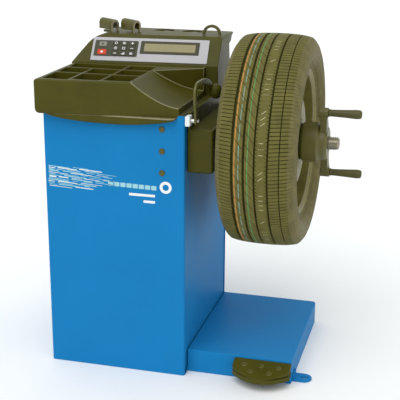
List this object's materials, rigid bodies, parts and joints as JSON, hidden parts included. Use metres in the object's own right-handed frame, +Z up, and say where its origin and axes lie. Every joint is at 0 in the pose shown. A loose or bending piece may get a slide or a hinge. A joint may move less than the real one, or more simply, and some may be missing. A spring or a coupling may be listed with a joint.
{
  "type": "wheel balancer machine",
  "caption": "Car wheel balancer: sheet-metal cabinet with a weight tray and a display, a spindle holding a wheel under a quick nut, a gauge arm, a brake pedal and a low platform.",
  "frame": {"origin": "middle of the underside of the cabinet, on the floor", "axes": "+X to the right along the spindle towards the wheel, +Y to the back of the machine, +Z up"},
  "size_m": [0.916, 0.634, 1.0199],
  "materials": {
    "blue_paint": "smooth gloss powder coat",
    "black_sheet": "matte powder coat",
    "black_moulding": "fine-grained moulded plastic",
    "silver_panel": "satin silver",
    "keypad": "matte dark grey",
    "grey_key": "matte",
    "red_key": "matte",
    "red_rocker": "glossy",
    "display_glass": "glossy tan liquid-crystal window",
    "circuit_board": "green solder mask",
    "bright_steel": "ground and threaded",
    "zinc_steel": "zinc plated",
    "grey_casting": "painted casting",
    "cast_aluminium": "machined",
    "belt_rubber": "matte",
    "tyre_rubber": "matte rubber with a moulded tread",
    "wheel_alloy": "painted",
    "black_metal": "black coated",
    "grip_rubber": "matte moulded grip",
    "head_plastic": "matte",
    "white_nylon": "smooth",
    "supply_case": null
  },
  "bodies": {
    "root": {"cabinet_shell": "blue_paint", "cabinet_rear_cover": "blue_paint", "base_platform": "blue_paint", "anchor_lug": "blue_paint", "cabinet_top_plate": "black_sheet", "weight_tray": "black_moulding", "display_housing": "black_moulding", "tool_shelf": "black_moulding", "housing_loop": "black_moulding", "cone_peg_1": "black_moulding", "cone_peg_2": "black_moulding", "spindle_cover": "black_moulding", "mains_inlet": "black_moulding", "hole_plug_1": "black_moulding", "hole_plug_2": "black_moulding", "hole_plug_3": "black_moulding", "panel_bezel": "silver_panel", "keypad_base": "keypad", "lcd_window": "display_glass", "control_board": "circuit_board", "rear_bearing": "bright_steel", "front_bearing": "bright_steel", "force_sensor_1": "bright_steel", "force_sensor_2": "bright_steel", "spindle_housing": "grey_casting", "spindle_bracket": "grey_casting", "drive_motor": "grey_casting", "drive_belt": "belt_rubber", "gauge_guide": "white_nylon", "power_supply": "supply_case"},
    "spindle": {"main_shaft": "bright_steel", "backing_flange": "grey_casting", "shaft_pulley": "cast_aluminium"},
    "motor_rotor": {"motor_pulley": "cast_aluminium"},
    "test_wheel": {"tyre": "tyre_rubber", "wheel_rim": "wheel_alloy", "wheel_disc": "wheel_alloy"},
    "nut": {"quick_nut": "black_metal", "nut_handle_1": "grip_rubber", "nut_handle_2": "grip_rubber", "pressure_cup": "black_moulding"},
    "gauge_slider": {"gauge_rod": "bright_steel"},
    "gauge_swing_arm": {"gauge_arm": "black_metal", "gauge_head": "head_plastic"},
    "pedal": {"foot_pedal": "black_moulding", "brake_shaft": "zinc_steel"},
    "push_rod": {"brake_rod": "zinc_steel"},
    "lever": {"brake_lever": "zinc_steel"},
    "rocker": {"power_switch": "red_rocker"},
    "start_key_cap": {"start_key": "grey_key"},
    "stop_key_cap": {"stop_key": "red_key"},
    "function_key_1_cap": {"function_key_1": "keypad"},
    "function_key_2_cap": {"function_key_2": "keypad"},
    "function_key_3_cap": {"function_key_3": "keypad"},
    "function_key_4_cap": {"function_key_4": "keypad"},
    "function_key_5_cap": {"function_key_5": "keypad"},
    "function_key_6_cap": {"function_key_6": "keypad"},
    "function_key_7_cap": {"function_key_7": "keypad"},
    "function_key_8_cap": {"function_key_8": "keypad"},
    "function_key_9_cap": {"function_key_9": "keypad"}
  },
  "joints": [
    {"name": "spindle_spin", "type": "hinge", "parent": "root", "child": "spindle", "pos_m": [0, -0.027, 0.7], "axis": [1, 0, 0], "continuous": true},
    {"name": "motor_spin", "type": "hinge", "parent": "root", "child": "motor_rotor", "pos_m": [0, 0.075, 0.4], "axis": [1, 0, 0], "continuous": true},
    {"name": "wheel_slide", "type": "slide", "parent": "spindle", "child": "test_wheel", "axis": [1, 0, 0], "range_m": [0, 0.2]},
    {"name": "nut_slide", "type": "slide", "parent": "test_wheel", "child": "nut", "axis": [1, 0, 0], "range_m": [0, 0.135]},
    {"name": "gauge_pull", "type": "slide", "parent": "root", "child": "gauge_slider", "axis": [1, 0, 0], "range_m": [0, 0.06]},
    {"name": "gauge_swing", "type": "hinge", "parent": "gauge_slider", "child": "gauge_swing_arm", "pos_m": [0.245, -0.2405, 0.79], "axis": [1, 0, 0], "range_deg": [-18, 95]},
    {"name": "pedal_press", "type": "hinge", "parent": "root", "child": "pedal", "pos_m": [0.445, -0.197, 0.04], "axis": [1, 0, 0], "range_deg": [0, 8], "stiffness_Nm_per_rad": 20, "springref_deg": -4.58},
    {"name": "brake_rod_lift", "type": "slide", "parent": "root", "child": "push_rod", "axis": [0, 0, 1], "range_m": [0, 0.0045]},
    {"name": "brake_lever_turn", "type": "hinge", "parent": "root", "child": "lever", "pos_m": [-0.058, 0.097, 0.59], "axis": [1, 0, 0], "range_deg": [-1, 0]},
    {"name": "power_rocker", "type": "hinge", "parent": "root", "child": "rocker", "pos_m": [-0.055, 0.253, 0.16], "axis": [-1, 0, 0], "range_deg": [0, 20]},
    {"name": "start_key_press", "type": "slide", "parent": "root", "child": "start_key_cap", "axis": [-0.0611, 0.7636, -0.6428], "range_m": [0, 0.001], "stiffness_N_per_m": 300, "springref_m": -0.0002},
    {"name": "stop_key_press", "type": "slide", "parent": "root", "child": "stop_key_cap", "axis": [-0.0611, 0.7636, -0.6428], "range_m": [0, 0.001], "stiffness_N_per_m": 300, "springref_m": -0.0002},
    {"name": "function_key_1_press", "type": "slide", "parent": "root", "child": "function_key_1_cap", "axis": [-0.0611, 0.7636, -0.6428], "range_m": [0, 0.001], "stiffness_N_per_m": 300, "springref_m": -0.0002},
    {"name": "function_key_2_press", "type": "slide", "parent": "root", "child": "function_key_2_cap", "axis": [-0.0611, 0.7636, -0.6428], "range_m": [0, 0.001], "stiffness_N_per_m": 300, "springref_m": -0.0002},
    {"name": "function_key_3_press", "type": "slide", "parent": "root", "child": "function_key_3_cap", "axis": [-0.0611, 0.7636, -0.6428], "range_m": [0, 0.001], "stiffness_N_per_m": 300, "springref_m": -0.0002},
    {"name": "function_key_4_press", "type": "slide", "parent": "root", "child": "function_key_4_cap", "axis": [-0.0611, 0.7636, -0.6428], "range_m": [0, 0.001], "stiffness_N_per_m": 300, "springref_m": -0.0002},
    {"name": "function_key_5_press", "type": "slide", "parent": "root", "child": "function_key_5_cap", "axis": [-0.0611, 0.7636, -0.6428], "range_m": [0, 0.001], "stiffness_N_per_m": 300, "springref_m": -0.0002},
    {"name": "function_key_6_press", "type": "slide", "parent": "root", "child": "function_key_6_cap", "axis": [-0.0611, 0.7636, -0.6428], "range_m": [0, 0.001], "stiffness_N_per_m": 300, "springref_m": -0.0002},
    {"name": "function_key_7_press", "type": "slide", "parent": "root", "child": "function_key_7_cap", "axis": [-0.0611, 0.7636, -0.6428], "range_m": [0, 0.001], "stiffness_N_per_m": 300, "springref_m": -0.0002},
    {"name": "function_key_8_press", "type": "slide", "parent": "root", "child": "function_key_8_cap", "axis": [-0.0611, 0.7636, -0.6428], "range_m": [0, 0.001], "stiffness_N_per_m": 300, "springref_m": -0.0002},
    {"name": "function_key_9_press", "type": "slide", "parent": "root", "child": "function_key_9_cap", "axis": [-0.0611, 0.7636, -0.6428], "range_m": [0, 0.001], "stiffness_N_per_m": 300, "springref_m": -0.0002}
  ],
  "couplings": [
    {"joint": "motor_spin", "follows": "spindle_spin", "ratio": 3.2},
    {"joint": "brake_rod_lift", "follows": "pedal_press", "m_per_rad": 0.0316},
    {"joint": "brake_lever_turn", "follows": "pedal_press", "ratio": -0.1204}
  ]
}
